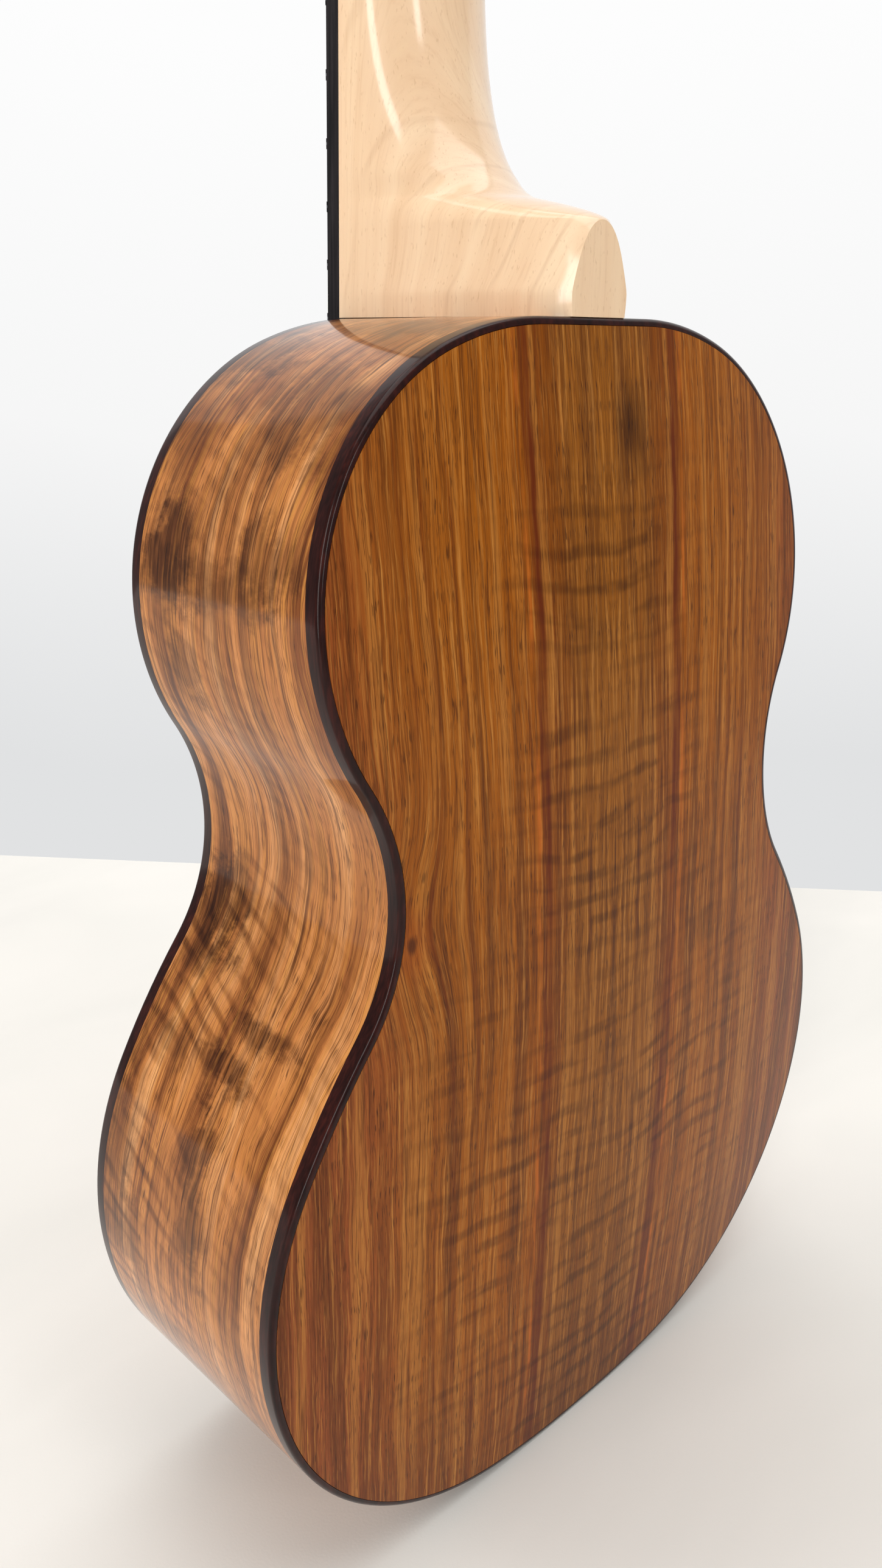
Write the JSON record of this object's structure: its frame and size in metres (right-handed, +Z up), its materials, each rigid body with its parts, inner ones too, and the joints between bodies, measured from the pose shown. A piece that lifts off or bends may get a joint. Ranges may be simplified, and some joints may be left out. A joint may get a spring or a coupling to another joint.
{
  "type": "concert ukulele",
  "caption": "Guitar-shaped concert ukulele with domed back, dark bindings, bolt-on maple neck with heel, braced hollow body, strung bridge and worm-geared tuners.",
  "frame": {"origin": "middle of the small flat on the tail, halfway between the soundboard's face and the back's edge", "axes": "+Z up the neck, -Y out of the soundboard, +Y out of the domed back, +X to the treble side"},
  "size_m": [0.2028, 0.0833, 0.5986],
  "materials": {
    "top_wood": "gloss lacquer",
    "back_wood": "gloss lacquer",
    "side_wood": "gloss lacquer",
    "binding_wood": "gloss lacquer",
    "block_wood": "bare",
    "lining_wood": "bare",
    "brace_wood": "bare",
    "bridge_wood": "oiled satin",
    "bone": "polished",
    "maple": "satin lacquer",
    "fretboard_wood": "oiled satin",
    "nickel": "polished",
    "gear_brass": "cut teeth",
    "pearl": "pearl gloss",
    "nylon": "translucent"
  },
  "bodies": {
    "root": {"soundboard": "top_wood", "back_plate_bass": "back_wood", "back_plate_treble": "back_wood", "side_bass": "side_wood", "side_treble": "side_wood", "top_binding_bass": "binding_wood", "top_binding_treble": "binding_wood", "back_binding_bass": "binding_wood", "back_binding_treble": "binding_wood", "rosette": "bridge_wood", "neck_block": "block_wood", "tail_block": "block_wood", "end_graft": "binding_wood", "top_lining_bass": "lining_wood", "top_lining_treble": "lining_wood", "back_lining_bass": "lining_wood", "back_lining_treble": "lining_wood", "back_brace_upper": "brace_wood", "back_brace_middle": "brace_wood", "back_brace_lower": "brace_wood", "back_seam_strips": "brace_wood", "upper_top_brace": "brace_wood", "lower_top_brace": "brace_wood", "fan_brace_bass": "brace_wood", "fan_brace_centre": "brace_wood", "fan_brace_treble": "brace_wood", "bridge_plate": "bridge_wood", "bridge": "bridge_wood", "saddle": "bone", "neck": "maple", "neck_bolt": "nickel", "neck_insert": "gear_brass", "headstock_veneer": "bridge_wood", "fretboard": "fretboard_wood", "frets": "nickel", "fret_markers": "pearl", "nut": "bone", "string_g": "nylon", "string_c": "nylon", "string_e": "nylon", "string_a": "nylon", "tuner_plates": "nickel", "tuner_bushings": "nickel", "tuner_screws": "nickel"},
    "tuner_shaft_g": {"tuner_worm_g": "nickel", "tuner_button_g": "pearl"},
    "tuner_barrel_g": {"tuner_post_g": "nickel", "tuner_gear_g": "gear_brass"},
    "tuner_shaft_c": {"tuner_worm_c": "nickel", "tuner_button_c": "pearl"},
    "tuner_barrel_c": {"tuner_post_c": "nickel", "tuner_gear_c": "gear_brass"},
    "tuner_shaft_e": {"tuner_worm_e": "nickel", "tuner_button_e": "pearl"},
    "tuner_barrel_e": {"tuner_post_e": "nickel", "tuner_gear_e": "gear_brass"},
    "tuner_shaft_a": {"tuner_worm_a": "nickel", "tuner_button_a": "pearl"},
    "tuner_barrel_a": {"tuner_post_a": "nickel", "tuner_gear_a": "gear_brass"}
  },
  "joints": [
    {"name": "button_turn_g", "type": "hinge", "parent": "root", "child": "tuner_shaft_g", "pos_m": [-0.0165, -0.01125, 0.5108], "axis": [1, 0, 0], "continuous": true},
    {"name": "post_turn_g", "type": "hinge", "parent": "root", "child": "tuner_barrel_g", "pos_m": [-0.0165, -0.02718, 0.50826], "axis": [0, 0.9781, -0.2079], "continuous": true},
    {"name": "button_turn_c", "type": "hinge", "parent": "root", "child": "tuner_shaft_c", "pos_m": [-0.0165, -0.00127, 0.55775], "axis": [1, 0, 0], "continuous": true},
    {"name": "post_turn_c", "type": "hinge", "parent": "root", "child": "tuner_barrel_c", "pos_m": [-0.0165, -0.0172, 0.55521], "axis": [0, 0.9781, -0.2079], "continuous": true},
    {"name": "button_turn_e", "type": "hinge", "parent": "root", "child": "tuner_shaft_e", "pos_m": [0.0165, -0.00127, 0.55775], "axis": [1, 0, 0], "continuous": true},
    {"name": "post_turn_e", "type": "hinge", "parent": "root", "child": "tuner_barrel_e", "pos_m": [0.0165, -0.0172, 0.55521], "axis": [0, 0.9781, -0.2079], "continuous": true},
    {"name": "button_turn_a", "type": "hinge", "parent": "root", "child": "tuner_shaft_a", "pos_m": [0.0165, -0.01125, 0.5108], "axis": [1, 0, 0], "continuous": true},
    {"name": "post_turn_a", "type": "hinge", "parent": "root", "child": "tuner_barrel_a", "pos_m": [0.0165, -0.02718, 0.50826], "axis": [0, 0.9781, -0.2079], "continuous": true}
  ],
  "couplings": [
    {"joint": "post_turn_g", "follows": "button_turn_g", "ratio": 0.071429},
    {"joint": "post_turn_c", "follows": "button_turn_c", "ratio": 0.071429},
    {"joint": "post_turn_e", "follows": "button_turn_e", "ratio": 0.071429},
    {"joint": "post_turn_a", "follows": "button_turn_a", "ratio": 0.071429}
  ]
}
